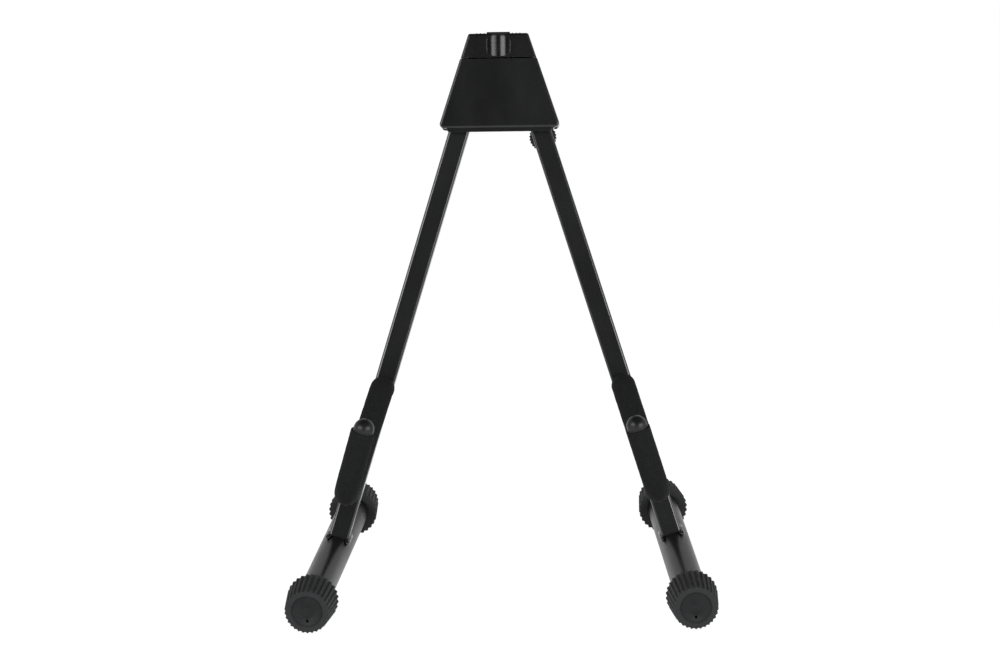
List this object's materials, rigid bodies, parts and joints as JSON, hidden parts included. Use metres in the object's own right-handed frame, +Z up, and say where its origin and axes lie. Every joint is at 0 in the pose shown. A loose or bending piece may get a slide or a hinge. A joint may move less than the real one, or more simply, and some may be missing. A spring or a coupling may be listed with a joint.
{
  "type": "a-frame guitar stand",
  "caption": "Folding A-frame floor stand for a guitar, with two leaning square legs, round foot tubes with ribbed rubber end caps, padded hook arms and a trapezoid pivot head.",
  "frame": {"origin": "middle of the footprint, on the floor", "axes": "+Z up, -Y towards the front where the instrument is set down, +X to the right seen from the front"},
  "size_m": [0.331, 0.2982, 0.4242],
  "materials": {
    "head_plastic": "smooth gloss black",
    "leg_paint": "gloss black",
    "tube_paint": "satin black",
    "rod_paint": "gloss black",
    "cap_rubber": "matte dark grey",
    "foam": "matte black closed-cell foam",
    "tip_plastic": "gloss black",
    "knob_plastic": "fine matte black",
    "bush_plastic": "natural nylon",
    "zinc_steel": "zinc plated",
    "spring_steel": "drawn wire"
  },
  "bodies": {
    "head": {"front_shell": "head_plastic", "rear_shell": "head_plastic", "shell_screws": "zinc_steel", "pivot_bolts": "zinc_steel", "pivot_nuts": "zinc_steel", "return_spring": "spring_steel"},
    "lift_cap_body": {"lift_cap": "head_plastic", "latch_plate": "zinc_steel", "latch_screw": "zinc_steel"},
    "left_leg_body": {"left_leg": "leg_paint", "left_pivot_bushes": "bush_plastic", "left_foot_tube": "tube_paint", "left_front_foot_cap": "cap_rubber", "left_rear_foot_cap": "cap_rubber", "left_cradle_arm": "rod_paint", "left_arm_foam": "foam", "left_arm_tip": "tip_plastic"},
    "right_leg_body": {"right_leg": "leg_paint", "right_pivot_bushes": "bush_plastic", "right_foot_tube": "tube_paint", "right_front_foot_cap": "cap_rubber", "right_rear_foot_cap": "cap_rubber", "right_cradle_arm": "rod_paint", "right_arm_foam": "foam", "right_arm_tip": "tip_plastic", "lock_nut": "zinc_steel"},
    "lock_washer_body": {"lock_washer": "zinc_steel"},
    "lock_knob_body": {"lock_knob": "knob_plastic", "lock_stud": "zinc_steel"}
  },
  "joints": [
    {"name": "left_leg_fold", "type": "hinge", "parent": "head", "child": "left_leg_body", "pos_m": [-0.023, 0.09635, 0.37456], "axis": [0, -0.972, 0.2351], "range_deg": [0, 17.25]},
    {"name": "right_leg_fold", "type": "hinge", "parent": "head", "child": "right_leg_body", "pos_m": [0.023, 0.09635, 0.37456], "axis": [0, 0.972, -0.2351], "range_deg": [0, 17.25]},
    {"name": "cap_lift", "type": "slide", "parent": "head", "child": "lift_cap_body", "axis": [0, 0.2351, 0.972], "range_m": [0, 0.007], "stiffness_N_per_m": 300, "springref_m": -0.01, "deforming": ["return_spring"]},
    {"name": "knob_out", "type": "slide", "parent": "right_leg_body", "child": "lock_washer_body", "axis": [0, 0.972, -0.2351], "range_m": [0, 0.002]},
    {"name": "knob_turn", "type": "hinge", "parent": "lock_washer_body", "child": "lock_knob_body", "pos_m": [0.03409, 0.08795, 0.33984], "axis": [0, 0.972, -0.2351], "range_deg": [0, 720]}
  ],
  "couplings": [
    {"joint": "knob_turn", "follows": "knob_out", "rad_per_m": 6283.2}
  ]
}
